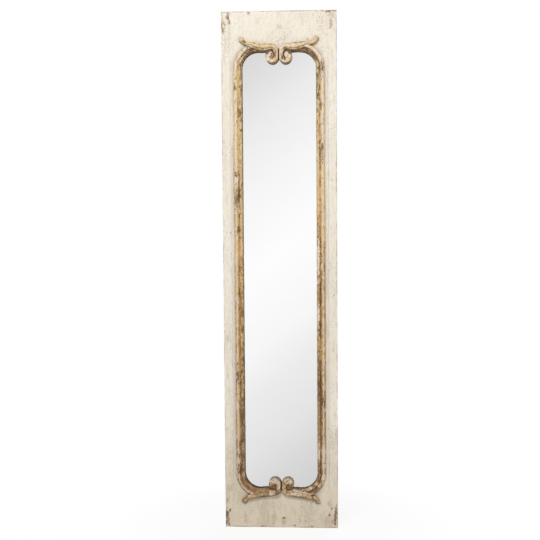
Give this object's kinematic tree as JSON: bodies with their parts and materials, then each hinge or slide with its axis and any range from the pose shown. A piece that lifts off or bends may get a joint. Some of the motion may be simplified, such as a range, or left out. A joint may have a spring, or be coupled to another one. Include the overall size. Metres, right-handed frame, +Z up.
{
  "type": "full-length mirror",
  "caption": "Tall slim wall mirror: worn cream painted panel, rounded gilt moulding with facing scrolls at top and bottom, and swinging D-ring hangers behind.",
  "frame": {"origin": "middle of the back, on the plane of the wall, at the centre of the middle batten's rear face", "axes": "+X to the right as seen from the front, +Y back into the wall so that the mirror faces -Y, +Z up along the mirror's length"},
  "size_m": [0.37, 0.042, 1.68],
  "materials": {
    "cream_paint": "hand-brushed cream paint, rubbed through at the edges",
    "worn_gilding": "worn ochre gilding over gesso, with a cream outer cove",
    "silvered_glass": "silvered glass",
    "felt_tape": "dark felt",
    "hardboard": "smooth brown hardboard",
    "bare_pine": "sawn and unfinished",
    "steel_screws": "plain steel",
    "zinc_plate": "zinc-plated steel"
  },
  "bodies": {
    "frame": {"left_edge_strip": "cream_paint", "right_edge_strip": "cream_paint", "left_stile": "cream_paint", "right_stile": "cream_paint", "top_board": "cream_paint", "bottom_board": "cream_paint", "stile_dowels": "bare_pine", "mirror_glass": "silvered_glass", "glass_tape": "felt_tape", "back_board": "hardboard", "back_board_screws": "steel_screws", "top_batten": "bare_pine", "middle_batten": "bare_pine", "bottom_batten": "bare_pine", "batten_screws": "steel_screws", "left_moulding": "worn_gilding", "right_moulding": "worn_gilding", "top_left_corner_moulding": "worn_gilding", "top_right_corner_moulding": "worn_gilding", "bottom_left_corner_moulding": "worn_gilding", "bottom_right_corner_moulding": "worn_gilding", "top_left_scroll": "worn_gilding", "top_right_scroll": "worn_gilding", "bottom_left_scroll": "worn_gilding", "bottom_right_scroll": "worn_gilding", "moulding_screws": "steel_screws", "left_hanger_strap": "zinc_plate", "right_hanger_strap": "zinc_plate", "hanger_screws": "steel_screws"},
    "left_ring": {"left_d_ring": "zinc_plate"},
    "right_ring": {"right_d_ring": "zinc_plate"}
  },
  "joints": [
    {"name": "left_ring_swing", "type": "hinge", "parent": "frame", "child": "left_ring", "pos_m": [-0.11, -0.00465, 0.768], "axis": [1, 0, 0], "range_deg": [0, 176]},
    {"name": "right_ring_swing", "type": "hinge", "parent": "frame", "child": "right_ring", "pos_m": [0.11, -0.00465, 0.768], "axis": [1, 0, 0], "range_deg": [0, 176]}
  ]
}
